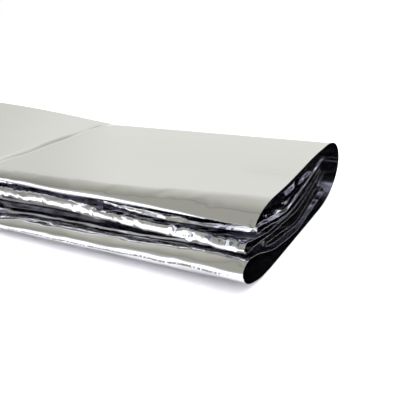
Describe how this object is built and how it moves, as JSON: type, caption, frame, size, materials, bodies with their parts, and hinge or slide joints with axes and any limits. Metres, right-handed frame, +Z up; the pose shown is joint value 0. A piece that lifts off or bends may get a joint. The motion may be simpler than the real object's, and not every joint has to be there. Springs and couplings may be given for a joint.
{
  "type": "emergency foil blanket",
  "caption": "Thin silvery film blanket folded back and forth lengthwise into a slack strip, creased across, lying flat on its underside.",
  "frame": {"origin": "middle of the strip's box on the surface that it lies on", "axes": "+X along the strip towards its loose, slightly fanned end; -Y towards the open side where the folds show; +Z up"},
  "size_m": [0.393, 0.1072, 0.0376],
  "materials": {
    "silver_film": "bright vapour-coated film, smooth on the outer layers and crinkled along the inner folds"
  },
  "bodies": {
    "root": {"foil_blanket": "silver_film"}
  },
  "joints": []
}
